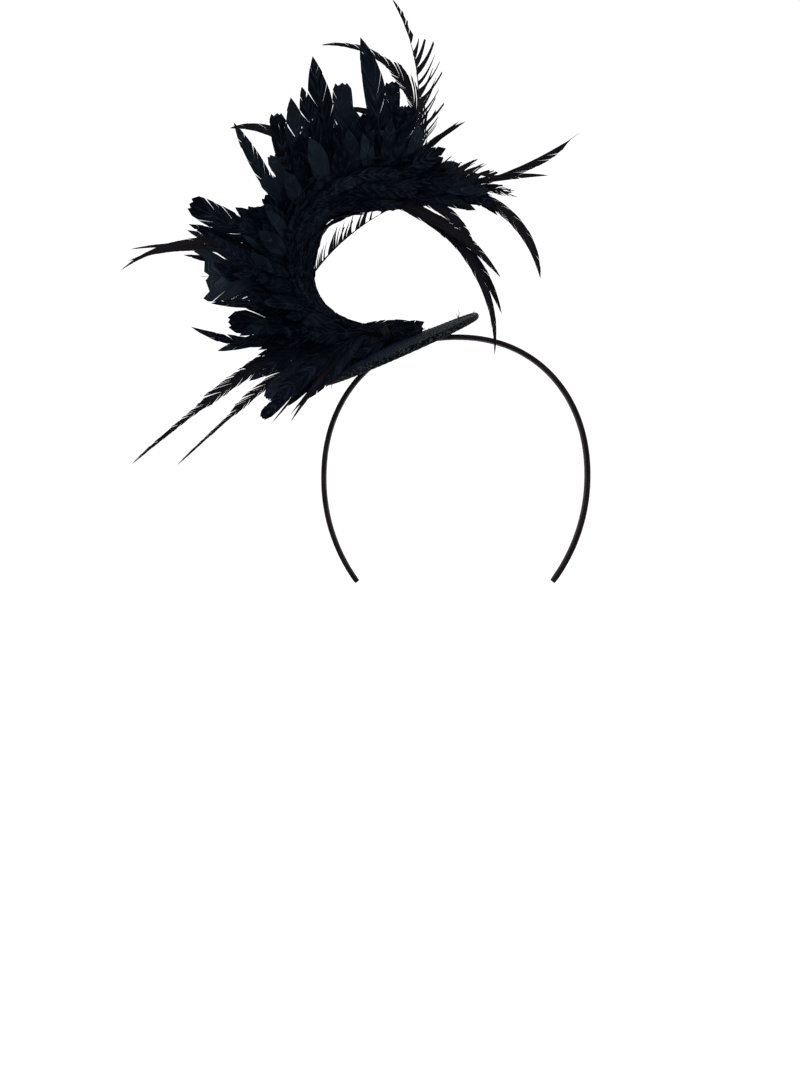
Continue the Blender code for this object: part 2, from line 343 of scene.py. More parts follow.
shaftLook = {
    "dark": (0.0012, 0.0012, 0.0018),
    "pale": (0.0060, 0.0055, 0.0065),
    "scale": 140.0,
    "patch": (0.4, 0.65),
    "depth": 0.0002,
    "roughness": 0.42,
    "specular": 0.06,
}


def makeFeatherMaterial(name, look):
    material, tree, shader = newMaterial(name, look)
    tone = toneMap(tree)
    lines = groupNode(tree, barbLines)
    tree.links.new(barbsMap(tree), lines.inputs["UV"])
    tree.links.new(tone, lines.inputs["Seed"])
    base = mixColour(tree, mapRange(tree, tone, look["paleFrom"], 1.0), look["cool"], look["warm"])
    # Painted highlight: the shine of single barbs, mixed into the base colour along the barb lines and clumps
    paintedShine = mapRange(tree, lines.outputs["Lines"], *barbLook["paintedShineSpan"])
    clump = mapRange(tree, lines.outputs["Clumps"], *barbLook["clumpSpan"])
    lit = mixColour(tree, times(tree, paintedShine, clump), base, look["paintedShine"])
    # Painted sheen: a teal tint mixed into the base colour where a feather is seen at a low angle
    facing = tree.nodes.new("ShaderNodeLayerWeight")
    facing.inputs["Blend"].default_value = barbLook["paintedSheenBlend"]
    paintedSheen = times(tree, facing.outputs["Facing"], clump)
    tree.links.new(mixColour(tree, paintedSheen, lit, look["paintedSheen"]), shader.inputs["Base Color"])
    addRoughness(tree, shader, lines.outputs["Lines"], look)
    addBump(tree, shader, lines.outputs["Lines"], barbLook["depth"])
    return material


broadMaterial = makeFeatherMaterial("broadFeather", broadLook)
hackleMaterial = makeFeatherMaterial("hackleFeather", hackleLook)
shaftMaterial = makeMottled("shaft", shaftLook)


# Camera: the photograph's own place and tilt
view = {
    "place": (-0.0321, -0.520, -0.0469),
    "tilt": 83.0,
    "lens": 30.37,
    "filmWidth": 36.0,
    "clip": (0.01, 60),
}


def addCamera():
    data = bpy.data.cameras.new("camera")
    data.lens = view["lens"]
    data.sensor_width = view["filmWidth"]
    data.clip_start, data.clip_end = view["clip"]
    camera = addObject("camera", data)
    camera.location = view["place"]
    camera.rotation_euler = (math.radians(view["tilt"]), 0, 0)
    scene.camera = camera
    print("camera placed")


addCamera()

# Studio: a pale floor at the height of the table under a display head, and soft light from all round
studio = {
    "floorDrop": 0.40,
    "floorSize": 30.0,
    "skyStrength": 1.12,
    "aim": (-0.05, 0, 0.03),
    "lamps": (
        {"name": "keyLamp", "place": (-0.9, -1.3, 1.2), "size": 1.2, "power": 16},
        {"name": "fillLamp", "place": (1.3, -1.0, 0.5), "size": 1.4, "power": 9},
        {"name": "backLamp", "place": (0.3, 1.5, 1.1), "size": 1.2, "power": 12},
    ),
}
floorLook = {
    "dark": (0.93, 0.93, 0.93),
    "pale": (0.95, 0.95, 0.95),
    "scale": 2.0,
    "patch": (0.3, 0.7),
    "depth": 0,
    "roughness": 0.9,
    "specular": 0.1,
}


def addFloor():
    mesh = bmesh.new()
    bmesh.ops.create_grid(mesh, x_segments=1, y_segments=1, size=studio["floorSize"] / 2)
    bmesh.ops.translate(mesh, verts=mesh.verts, vec=(0, 0, -studio["floorDrop"]))
    floor = addObject("floor", meshData("floor", mesh))
    floor.data.materials.append(makeMottled("paleFloor", floorLook))


def addSky():
    world = bpy.data.worlds.new("softSky")
    world.use_nodes = True
    sky = world.node_tree.nodes["Background"]
    sky.inputs["Color"].default_value = (1, 1, 1, 1)
    sky.inputs["Strength"].default_value = studio["skyStrength"]
    scene.world = world
    scene.view_settings.view_transform = "Standard"


def addLamp(lamp):
    data = bpy.data.lights.new(lamp["name"], "AREA")
    data.energy = lamp["power"]
    data.size = lamp["size"]
    light = addObject(lamp["name"], data)
    light.location = lamp["place"]
    light.rotation_euler = (Vector(studio["aim"]) - light.location).to_track_quat("-Z", "Y").to_euler()


addFloor()
addSky()
for lamp in studio["lamps"]:
    addLamp(lamp)
print("studio lit")

# Disc: its middle and its own axes, from the rim in the frame
disc = {"roll": 23.5, "pitch": 7.0, "dome": 0.0033, "thickness": 0.0016, "radius": 0.0452}
rolled = Matrix.Rotation(-math.radians(disc["roll"]), 3, "Y")
discTurn = rolled @ Matrix.Rotation(math.radians(disc["pitch"]), 3, "X")
discUp = discTurn @ zAxis
discRight = discTurn @ xAxis
discFront = discTurn @ -yAxis
rimLow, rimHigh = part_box("rim_binding")
discMiddle = (rimLow + rimHigh) / 2 + discUp * disc["dome"]

# Curl: the same superellipse that the solids follow, seated on the disc
curl = {
    "halfWidth": 0.060,
    "halfHeight": 0.040,
    "squareness": 2.5,
    "start": 267.0,
    "end": 35.0,
    "footSlide": 0.0045,
    "footLift": 0.0048,
    "buttRadius": 0.013,
}
buttShares = (
    (0.00, 0.18), (0.06, 0.20), (0.12, 0.20), (0.20, 0.31), (0.30, 0.66), (0.42, 1.00),
    (0.60, 1.00), (0.75, 0.92), (0.86, 0.66), (0.95, 0.36), (1.00, 0.16),
)


def buttSize(at):
    return curl["buttRadius"] * between(buttShares, at)


def curlOffset(at):
    angle = math.radians(curl["start"] + (curl["end"] - curl["start"]) * at)
    across = abs(math.cos(angle) / curl["halfWidth"]) ** curl["squareness"]
    upward = abs(math.sin(angle) / curl["halfHeight"]) ** curl["squareness"]
    reach = (across + upward) ** (-1 / curl["squareness"])
    return Vector((reach * math.cos(angle), 0, reach * math.sin(angle)))


curlFoot = discMiddle + discUp * curl["footLift"] + discRight * curl["footSlide"]
curlMiddle = Vector((curlFoot.x, 0, curlFoot.z)) - curlOffset(0)


def curlSpot(at):
    step = 0.004
    forward = (curlOffset(at + step) - curlOffset(at - step)).normalized()
    outward = Vector((-forward.z, 0, forward.x))
    return curlMiddle + curlOffset(at), forward, outward


def curlRing(at, turn, radius):
    centre, _, outward = curlSpot(at)
    return centre + turned(outward, yAxis, turn) * radius


# Feathers. A vane is a row of locks, each a bundle of barbs that leaves the shaft and sweeps forward by lead.
# peak: where the vane is widest. slim: how fast it narrows. lock: a lock's length. open: the share of a
# lock's width that is lost at its outer end, or, at a split, splitOpen. splits: how many locks are split.
# web: how far out the vane is closed. ragged: how uneven its edge is. beyond: the width left past stepAt.
# sides: how wide the vane is right and left of the shaft. bare: the share of locks that have fallen out.
# faces: how many faces a lock has from the shaft to its edge
kindColumns = (
    "peak", "slim", "lead", "lock", "open", "splitOpen", "splits", "web", "ragged", "stepAt", "beyond",
    "sides", "bare", "faces",
)
kindRows = {
    "spear": (0.62, 2.6, 2, 0.006, 0.02, 0.3, 0.14, 0.5, 0.1, 1, 1, (1, 1), 0, 4),
    "lobed": (0.78, 0.8, 1.8, 0.006, 0.02, 0.28, 0.14, 0.55, 0.06, 1, 1, (1, 1), 0, 4),
    "leaf": (0.55, 1.8, 1.9, 0.006, 0.02, 0.3, 0.14, 0.5, 0.1, 1, 1, (1, 1), 0, 4),
    "covert": (0.5, 1.9, 1.6, 0.006, 0.04, 0.5, 0.3, 0.4, 0.14, 1, 1, (1, 1), 0, 2),
    "square": (0.9, 0.35, 1.3, 0.005, 0.01, 0.12, 0.2, 0.65, 0.05, 1, 1, (1, 1), 0, 4),
    "hackle": (0.45, 1.5, 2.8, 0.0042, 0.02, 0.35, 0.18, 0.5, 0.08, 1, 1, (1, 0.9), 0, 4),
    "comb": (0.36, 0.9, 2.6, 0.002, 0.1, 0.38, 0.22, 0.75, 0.2, 0.6, 0.5, (1.2, 0.65), 0, 4),
    "flag": (0.62, 3.4, 2.4, 0.003, 0.02, 0.25, 0.12, 0.6, 0.07, 0.84, 0.1, (1, 0.14), 0, 3),
    "plume": (0.5, 0.6, 1.2, 0.0024, 0.82, 0.93, 0.5, 0, 0.3, 0.74, 0.22, (1, 0.06), 0.3, 5),
    "brush": (0.45, 0.7, 1.2, 0.0018, 0.82, 0.93, 0.5, 0, 0.3, 1, 1, (0.05, 1), 0.3, 5),
    "wisp": (0.4, 1.7, 3, 0.0015, 0.72, 0.9, 0.5, 0, 0.3, 1, 1, (1, 1), 0.25, 5),
}
kinds = {name: dict(zip(kindColumns, row)) for name, row in kindRows.items()}

# What every kind shares. A spread is a random range, a power bends a share that runs out from the shaft, and
# past closedPast beyond stepAt the vane keeps no gaps
feather = {"length": 0.070, "width": 0.015, "thickness": 0.00016}
shaft = {
    "steps": 24,
    "twist": 16,
    "sweep": 9,
    "reach": 0.98,
    "radius": 0.00014,
    "widthShare": 0.024,
    "widest": 0.8,
    "taper": 0.85,
    "grid": (10, 5),
}
vane = {
    "start": 0.03,
    "fewestLocks": 3,
    "lockSpread": (0.55, 1.45),
    "faceLength": 0.0032,
    "stepSpan": 0.06,
    "closedPast": 0.05,
    "closedGap": 0.1,
    "gapSpread": (0.5, 1.0),
    "gapPower": 1.3,
    "sweepPower": 1.25,
    "raggedSpread": (-1, 0.7),
    "lift": 0.07,
    "cup": 0.16,
    "cupSpread": (0.3, 1.3),
    "wave": 6,
    "leadWave": 0.05,
    "leadWaves": 9,
    "ripple": 0.06,
    "ripples": 11,
}


def outlineShare(kind, share):
    share = min(max(share, 0.0), 1.0)
    rise = (share / kind["peak"]) ** (kind["peak"] * kind["slim"])
    fall = ((1 - share) / (1 - kind["peak"])) ** ((1 - kind["peak"]) * kind["slim"])
    past = min(max((share - kind["stepAt"]) / vane["stepSpan"], 0.0), 1.0)
    return rise * fall * (1 + (kind["beyond"] - 1) * past)


def headedShaft(row, dice):
    # Stations along a shaft that leaves the curl at a heading in the front view and fans to the front or back
    stride = row["length"] * feather["length"] / shaft["steps"]
    spot, _, outward = curlSpot(row["at"])
    place = spot - outward * row["inset"]
    twist = stray(dice, shaft["twist"])
    sweep = stray(dice, shaft["sweep"])
    stations = []
    for step in range(shaft["steps"] + 1):
        share = step / shaft["steps"]
        heading = row["heading"] + row["turn"] * min(1.0, share + 0.5 / shaft["steps"])
        forward = headed(heading, row["fan"] + sweep * share ** 2)
        roll = Matrix.Rotation(math.radians(row["roll"] + twist * share), 3, forward)
        across = roll @ headed(heading + 90, 0)
        stations.append((place, forward, across, forward.cross(across)))
        place = place + forward * stride
    return stations


def stationAt(stations, share):
    reach = min(max(share, 0.0), 1.0) * (len(stations) - 1)
    index = min(int(reach), len(stations) - 2)
    rest = reach - index
    return [first.lerp(last, rest) for first, last in zip(stations[index], stations[index + 1])]


def lockEdges(kind, length, dice):
    count = max(vane["fewestLocks"], round(length / kind["lock"]))
    weights = [dice.uniform(*vane["lockSpread"]) for _ in range(count)]
    edges = [vane["start"]]
    for weight in weights:
        edges.append(edges[-1] + (1 - vane["start"]) * weight / sum(weights))
    return edges


def addLock(part, layer, stations, row, lock):
    kind = kinds[row["kind"]]
    length = row["length"] * feather["length"]
    half = row["width"] * feather["width"] / 2 * kind["sides"][0 if lock["side"] < 0 else 1]
    first = lock["first"]
    span = lock["last"] - first

    def place(outward, forwardShare):
        loose = lock["gap"] * max(0.0, (outward - kind["web"]) / (1 - kind["web"])) ** vane["gapPower"]
        at = first + span * (0.5 + (forwardShare - 0.5) * (1 - loose))
        wide = half * outlineShare(kind, at)
        lead = kind["lead"] * (1 + vane["leadWave"] * math.sin(lock["wave"] + at * vane["leadWaves"]))
        root = max(0.0, at - lead * wide / length)
        spot, _, across, face = stationAt(stations, root + (at - root) * outward ** vane["sweepPower"])
        ripple = vane["ripple"] * math.sin(lock["wave"] + at * vane["ripples"]) + lock["lift"]
        bend = (lock["cup"] + ripple) * outward ** 2
        return spot + (across * lock["side"] * outward + face * bend) * wide * lock["reach"]

    along = max(1, round(span * length / vane["faceLength"]))
    for vert, (outward, forwardShare) in addSheet(part, (kind["faces"], along), place).items():
        for loop in vert.link_loops:
            loop[layer].uv = ((first + span * forwardShare) * length * perMetre, outward)


def addVane(part, layer, stations, row, side, dice):
    kind = kinds[row["kind"]]
    edges = lockEdges(kind, row["length"] * feather["length"], dice)
    cup = vane["cup"] * dice.uniform(*vane["cupSpread"])
    wave = dice.uniform(0, vane["wave"])
    for first, last in zip(edges, edges[1:]):
        closed = first > kind["stepAt"] + vane["closedPast"]
        if dice.random() < kind["bare"] and not closed:
            continue
        gap = kind["splitOpen"] if dice.random() < kind["splits"] else kind["open"]
        gap *= vane["closedGap"] if closed else dice.uniform(*vane["gapSpread"])
        lock = {
            "first": first,
            "last": last,
            "side": side,
            "gap": gap,
            "reach": 1 + dice.uniform(*vane["raggedSpread"]) * kind["ragged"],
            "lift": stray(dice, vane["lift"]),
            "cup": cup,
            "wave": wave,
        }
        addLock(part, layer, stations, row, lock)


def addFeather(mesh, stations, row, dice):
    part = bmesh.new()
    layer = part.loops.layers.uv.new("barbs")
    for side in (-1, 1):
        addVane(part, layer, stations, row, side, dice)
    bmesh.ops.recalc_face_normals(part, faces=part.faces)
    stout = min(row["width"], shaft["widest"]) * feather["width"] * shaft["widthShare"] + shaft["radius"]

    def place(share, turn):
        spot, _, across, face = stationAt(stations, share * shaft["reach"])
        return spot + turned(across, face, turn) * stout * (1 - shaft["taper"] * share)

    addTube(part, shaft["grid"], place, materialIndex=1)
    toneLayer = part.verts.layers.float.new("tone")
    tone = row.get("tone", dice.random())
    for vert in part.verts:
        vert[toneLayer] = tone
    addPart(mesh, part)


def featherPiece(name, rows, material, slotName, replaced):
    mesh = bmesh.new()
    for number, row in enumerate(rows):
        dice = random.Random(f"{name}{number}")
        stations = row["stations"] if "stations" in row else headedShaft(row, dice)
        addFeather(mesh, stations, row, dice)
    makePiece(name, mesh, (material, shaftMaterial), slotName, replaced, feather["thickness"])


# Feathers read off the photo: root along the curl and its inset towards the opening in metres, heading
# and turn in the front view, fan towards the front, length and width as shares of a feather's, kind and roll
columns = ("at", "inset", "heading", "turn", "fan", "length", "width", "kind", "roll")
lowBroadRows = (
    (0.11, 0, 229, 2, 26, 0.8, 0.6, "leaf", 6),
    (0.122, 0, 219, 4, 30, 0.98, 0.66, "lobed", 8),
    (0.128, 0, 226, 2, 18, 0.88, 0.44, "leaf", -4),
    (0.135, 0, 221, 8, 24, 1.14, 0.5, "lobed", 8),
    (0.148, 0, 221, 6, 12, 0.92, 0.46, "lobed", -8),
    (0.188, 0, 221, 9, 6, 0.86, 0.5, "lobed", 5),
    (0.215, 0, 217, -64, 12, 1.16, 0.44, "spear", 12),
    (0.195, 0, 214, 0, 10, 0.86, 0.6, "leaf", 10),
    (0.2, 0, 207, 4, 2, 1, 0.6, "leaf", -6),
    (0.227, 0, 199, -2, 1, 0.92, 0.5, "leaf", -15),
    (0.22, 0, 184, 0, 10, 0.8, 0.95, "lobed", -12),
    (0.262, 0, 144, 47, 14, 0.95, 1.95, "square", 4),
    (0.262, 0, 179, 5, 20, 0.83, 0.4, "leaf", 4),
    (0.29, 0, 180, -36, 16, 0.78, 0.7, "leaf", -4),
    (0.29, 0, 152, 22, 10, 1.01, 0.34, "spear", 6),
    (0.262, 0, 154, -14, 22, 0.99, 0.7, "leaf", 6),
    (0.31, 0, 148, 10, -10, 1.1, 0.56, "leaf", 0),
    (0.066, 0, 219, -2, -10, 0.36, 0.75, "leaf", -10),
    (0.075, 0, 226, -2, 12, 0.42, 0.8, "leaf", 10),
    (0.09, 0, 224, -2, -14, 0.46, 0.85, "leaf", -8),
    (0.1, 0, 227, -2, 18, 0.48, 0.85, "leaf", 6),
    (0.12, 0, 221, -2, 2, 0.58, 0.9, "lobed", 4),
)
sideBroadRows = (
    (0.345, 0, 155, 4, 4, 0.94, 0.55, "spear", -10),
    (0.365, 0, 150, 6, 14, 0.94, 0.95, "lobed", 12),
    (0.36, 0, 136, -10, 24, 0.6, 1.05, "leaf", 5),
    (0.36, 0, 126, 24, 10, 0.66, 0.7, "leaf", -6),
    (0.4, 0, 140, 0, -18, 0.5, 0.95, "lobed", -12),
    (0.43, 0, 124, -6, 4, 0.98, 0.56, "spear", 10),
    (0.47, 0, 112, -6, -8, 0.76, 0.7, "lobed", -8),
    (0.485, 0, 125, -32, 4, 0.8, 0.66, "lobed", -8),
    (0.5, 0, 107, -9, 10, 0.83, 0.86, "spear", -8),
)
topBroadRows = (
    (0.54, 0, 106, -3, 6, 0.86, 0.8, "leaf", -8),
    (0.56, 0, 102, -3, -6, 1.1, 0.92, "spear", 8),
    (0.605, 0, 104, -15, 14, 0.78, 0.74, "lobed", -10),
    (0.63, 0, 95, 2, -14, 0.66, 0.6, "leaf", 0),
    (0.665, 0, 80, 32, 6, 1.09, 0.88, "spear", 5),
    (0.705, 0, 86, 4, -8, 0.86, 0.62, "lobed", 15),
    (0.66, 0, 23, -6, 28, 0.67, 0.8, "leaf", 5),
)
curlHackleRows = (
    (0.14, 0, 226, 6, 18, 1.07, 0.16, "hackle", 10),
    (0.125, 0, 229, 10, 30, 1.04, 0.22, "hackle", -10),
    (0.125, 0, 231, 2, 28, 1, 0.18, "hackle", 10),
    (0.19, 0, 217.6, 4, -8, 1.83, 0.4, "comb", -4),
    (0.205, 0, 209.8, 12, 8, 1.98, 0.54, "comb", 3),
    (0.33, 0, 147, 52, -6, 1.51, 0.28, "hackle", 0),
    (0.33, 0, 150, 40, -2, 1.42, 0.24, "hackle", 0),
    (0.345, 0, 143, 76, 12, 1.48, 0.3, "hackle", 5),
    (0.5, 0, 84, 105, -12, 1.16, 0.5, "hackle", 0),
    (0.74, 0, 51, 135, -10, 1.67, 0.62, "comb", -3),
    (0.72, 0, 58, 132, -24, 1.16, 0.34, "hackle", 0),
    (0.74, 0, 62, 60, 4, 1.42, 1.5, "plume", 4),
    (0.7, 0, 41, -6, 14, 0.73, 0.26, "hackle", 2),
    (0.7, 0, 48, -27, 14, 0.78, 0.26, "hackle", -4),
    (0.72, 0, 18, -40, 20, 0.89, 1, "brush", 0),
    (0.74, 0, 26, -46, 8, 0.76, 0.8, "brush", 0),
    (0.345, 0.009, 52, -27, 0, 0.76, 0.9, "brush", 0),
)
footRows = (
    (0.03, -0.0012, 10, 0, 8, 0.26, 0.44, "leaf", 10),
    (0.06, -0.0012, 6, 0, -10, 0.28, 0.46, "leaf", -10),
    (0.12, 0, 354, 0, 0, 0.54, 0.4, "spear", 4),
    (0.1, 0, 0, -6, 16, 0.44, 0.4, "leaf", 12),
    (0.08, 0.0002, 8, -4, 22, 0.34, 0.4, "spear", 14),
    (0.08, 0.0002, 8, -4, -24, 0.34, 0.4, "spear", -14),
    (0.06, -0.0035, 13, 0, 22, 0.34, 0.46, "leaf", 34),
    (0.06, -0.0035, 14, 0, -22, 0.34, 0.46, "leaf", -34),
    (0.066, -0.0046, 14, 0, 8, 0.34, 0.56, "leaf", 26),
    (0.004, -0.0024, 204, 0, 8, 0.4, 0.34, "leaf", 0),
    (0.004, -0.002, 204, 0, -8, 0.4, 0.34, "leaf", 0),
    (0.05, -0.0035, 212, 0, 20, 0.34, 0.8, "leaf", 34),
    (0.05, -0.0035, 210, 0, -20, 0.34, 0.8, "leaf", -34),
    (0.036, -0.004, 206, 0, 4, 0.4, 0.8, "leaf", 20),
    (0.013, 0, 18, 0, 33, 0.27, 0.46, "leaf", 14),
    (0.01, 0, 26, 0, -35, 0.21, 0.46, "leaf", -14),
    (0.15, 0.0005, 8, -14, 4, 0.56, 0.3, "leaf", 0),
    (0.094, -0.0012, 326, 8, 5, 0.27, 0.36, "leaf", 0),
    (0.086, -0.0012, 332, 0, -6, 0.25, 0.36, "leaf", 0),
)
tailRows = (
    (0.66, 0.006, 349, -43, 8, 1.21, 0.42, "hackle", 0),
    (0.66, 0.006, 351, -63, -6, 1.44, 0.46, "hackle", 4),
    (0.68, 0.006, 347, -82, 2, 1.68, 0.36, "hackle", -4),
    (0.64, 0.004, 350, -34, 4, 0.96, 0.46, "hackle", 2),
    (0.7, 0.004, 2, -70, 6, 0.89, 0.44, "hackle", 0),
    (0.93, -0.0006, 349, -74, 6, 1.03, 0.42, "hackle", 0),
    (0.9, 0, 11, 25, -6, 1.18, 0.5, "flag", 5),
    (0.9, 0, 13, -20, 16, 0.8, 0.24, "hackle", 10),
    (0.91, 0, 4, -14, 8, 0.5, 0.5, "wisp", 0),
    (0.9, 0, 10, -34, 2, 0.56, 0.6, "wisp", 0),
)
tailBroadRows = (
    (0.86, 0, 353, -20, -8, 0.46, 0.5, "leaf", 6),
    (0.8, 0.003, 345, -6, 4, 0.5, 0.44, "leaf", 4),
    (0.83, 0, 346, 2, 30, 0.5, 0.55, "spear", -10),
    (0.74, 0.003, 355, -16, 12, 0.56, 0.52, "leaf", 4),
    (0.85, 0, 4, 0, 34, 0.44, 0.6, "leaf", 12),
    (0.85, 0, 4, 0, -34, 0.44, 0.6, "leaf", -12),
    (0.9, 0, 352, -6, 26, 0.36, 0.55, "leaf", 16),
    (0.9, 0, 352, -6, -26, 0.36, 0.55, "leaf", -16),
)

# Ranks of body feathers, in even steps on the front and again on the back
rankColumns = ("count", "from", "to", "firstHeading", "lastHeading", "turn", "fan", "length", "width", "kind")
lowRanks = (
    (8, 0.11, 0.25, 212, 176, 6, 22, 0.74, 0.62, "spear"),
    (8, 0.14, 0.4, 192, 138, 4, 48, 0.56, 0.66, "leaf"),
    (7, 0.1, 0.3, 200, 158, -14, 30, 0.62, 0.5, "lobed"),
)
sideRanks = (
    (6, 0.26, 0.4, 166, 136, 8, 26, 0.62, 0.66, "spear"),
    (6, 0.3, 0.47, 156, 112, -16, 34, 0.54, 0.6, "leaf"),
    (7, 0.28, 0.48, 160, 112, 10, 10, 0.52, 0.7, "lobed"),
)
topRanks = (
    (10, 0.47, 0.715, 116, 70, -4, 26, 0.6, 0.62, "lobed"),
    (9, 0.46, 0.74, 112, 50, 22, 46, 0.56, 0.6, "spear"),
    (7, 0.56, 0.8, 88, 24, -24, 34, 0.46, 0.66, "leaf"),
)

# How far a body feather strays from its rank's even steps, in the rows' own units
scatter = {
    "at": 0.006,
    "apart": 3,
    "heading": 8,
    "turn": 16,
    "fan": 9,
    "length": (0.74, 1.06),
    "width": (0.75, 1.25),
    "rolls": (-6, 18),
    "roll": 26,
}


def rankRows(ranks, seed):
    dice = random.Random(seed)
    rows = []
    for rank in namedRows(rankColumns, ranks):
        for index in range(rank["count"]):
            share = index / (rank["count"] - 1)
            at = rank["from"] + (rank["to"] - rank["from"]) * share
            heading = rank["firstHeading"] + (rank["lastHeading"] - rank["firstHeading"]) * share
            for side in (1, -1):
                rows.append(
                    {
                        "at": at + scatter["at"] * side,
                        "inset": 0.0,
                        "heading": heading + scatter["apart"] * side + stray(dice, scatter["heading"]),
                        "turn": rank["turn"] + stray(dice, scatter["turn"]),
                        "fan": rank["fan"] * side + stray(dice, scatter["fan"]),
                        "length": rank["length"] * dice.uniform(*scatter["length"]),
                        "width": rank["width"] * dice.uniform(*scatter["width"]),
                        "kind": rank["kind"],
                        "roll": side * scatter["rolls"][index % 2] + stray(dice, scatter["roll"]),
                    }
                )
    return rows


for part, broadRows, ranks in (
    ("low", lowBroadRows, lowRanks),
    ("side", sideBroadRows, sideRanks),
    ("top", topBroadRows, topRanks),
):
    bodyRows = namedRows(columns, broadRows) + rankRows(ranks, part)
    featherPiece(f"{part}Feathers", bodyRows, broadMaterial, "black_feather_body", "feather_crescent")
for name, rows, material, slotName, replaced in (
    ("curlHackles", curlHackleRows, hackleMaterial, "black_feather_hackle", "feather_crescent"),
    ("footFeathers", footRows, broadMaterial, "black_feather_foot", "foot_spray"),
    ("tailHackles", tailRows, hackleMaterial, "black_feather_hackle", "tail_spray"),
    ("tailFeathers", tailBroadRows, broadMaterial, "black_feather_hackle", "tail_spray"),
):
    featherPiece(name, namedRows(columns, rows), material, slotName, replaced)

# Coverts: feathers swept along the roll of butts, short and low inside the opening, long and loose outside.
# Each starts turnStep of a turn past the last, near the golden section, so that no rows show. standShares:
# how far a covert's foot stands off the curl's centre line, as a share of the butts' radius
coverts = {
    "count": 190,
    "from": 0.02,
    "to": 0.86,
    "turnStep": 0.382,
    "turnStray": 0.03,
    "skew": 0.10,
    "span": 0.17,
    "spanSpread": (0.7, 1.1),
    "insideSpan": 0.8,
    "outsideSpan": 0.5,
    "insideLift": 0.12,
    "outsideLift": 0.62,
    "liftPower": 1.4,
    "clear": 0.0006,
    "steps": 10,
    "lookAhead": 0.01,
    "widths": (0.20, 0.35),
    "widthSpread": (0.75, 1.3),
    "tone": (0.0, 0.7),
}
standShares = ((0.00, 0.60), (0.22, 0.64), (0.45, 0.72), (0.62, 0.84), (1.00, 0.84))


def covertRow(index, dice):
    turn = index * coverts["turnStep"] + stray(dice, coverts["turnStray"])
    skew = stray(dice, coverts["skew"])
    at = coverts["from"] + (coverts["to"] - coverts["from"]) * index / coverts["count"]
    outside = 0.5 + 0.5 * math.cos(2 * math.pi * turn)
    span = coverts["span"] * dice.uniform(*coverts["spanSpread"])
    span *= coverts["insideSpan"] + coverts["outsideSpan"] * outside
    foot = between(standShares, at)
    lift = coverts["insideLift"] + coverts["outsideLift"] * outside ** 2

    def place(here, share, stand):
        return curlRing(here, turn + skew * share, buttSize(here) * stand + coverts["clear"])

    stations = []
    for step in range(coverts["steps"] + 1):
        share = step / coverts["steps"]
        here = at + span * share
        stand = foot + lift * share ** coverts["liftPower"]
        spot = place(here, share, stand)
        ahead = place(here + coverts["lookAhead"], share + coverts["lookAhead"] / span, stand)
        forward = (ahead - spot).normalized()
        face = (spot - curlSpot(here)[0]).normalized()
        face = (face - forward * face.dot(forward)).normalized()
        stations.append((spot, forward, face.cross(forward), face))
    length = sum((last[0] - first[0]).length for first, last in zip(stations, stations[1:]))
    narrow, more = coverts["widths"]
    width = (narrow + more * between(buttShares, at)) * dice.uniform(*coverts["widthSpread"])
    return {
        "stations": stations,
        "length": length / feather["length"],
        "width": width,
        "kind": "covert",
        "tone": dice.uniform(*coverts["tone"]),
    }


def makeCoverts():
    dice = random.Random("coverts")
    rows = [covertRow(index, dice) for index in range(coverts["count"])]
    featherPiece("covertFeathers", rows, broadMaterial, "black_feather_body", "feather_crescent")


makeCoverts()

# Roll of bound butts under the coverts, with shallow ridges that wind round it
butts = {
    "share": 0.70,
    "ridge": 0.05,
    "ridges": 7,
    "winding": 40,
    "mapLength": 0.2,
    "mapGirth": 0.001,
    "grid": (60, 28),
}


def makeButtRoll():
    mesh = bmesh.new()

    def place(share, turn):
        ridge = butts["ridge"] * math.sin(2 * math.pi * turn * butts["ridges"] + share * butts["winding"])
        return curlRing(share, turn, buttSize(share) * butts["share"] * (1 + ridge))

    addTube(mesh, butts["grid"], place, butts["mapLength"], butts["mapGirth"])
    makePiece("buttRoll", mesh, (hackleMaterial,), "black_feather_body", "feather_crescent")


makeButtRoll()

# Headband: a satin sleeve over a thin spring, with its seam along the inner face
bandLow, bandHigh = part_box("headband")
band = {
    "rise": 0.0828,
    "thickness": 0.0028,
    "legRadius": 0.103,
    "squareness": 2.15,
    "tipShare": 0.45,
    "sectionPower": 0.5,
    "seamHeight": 0.00022,
    "seamWidth": 0.0006,
    "pucker": 0.00005,
    "puckers": 150,
    "puckerDrift": (3, 90),
    "girth": 2.4,
    "grid": (420, 32),
}
satinLook = {
    "dark": (0.0034, 0.0020, 0.0034),
    "worn": (0.0080, 0.0058, 0.0080),
    "wear": (0.45, 0.72),
    "scale": 90.0,
    "detail": 4.0,
    "pitch": 0.28,
    "depth": 0.00004,
    "roughness": (0.38, 0.56),
    "specular": 0.035,
}
bandSpan = bandHigh.x - bandLow.x
bandWidth = bandHigh.y - bandLow.y
legSweep = math.asin((band["thickness"] - band["rise"] - bandLow.z) / band["legRadius"])
legLength = band["legRadius"] * legSweep
bandLength = legLength * 2 + math.pi / 2 * (bandSpan / 2 + band["rise"])
legShare = legLength / bandLength


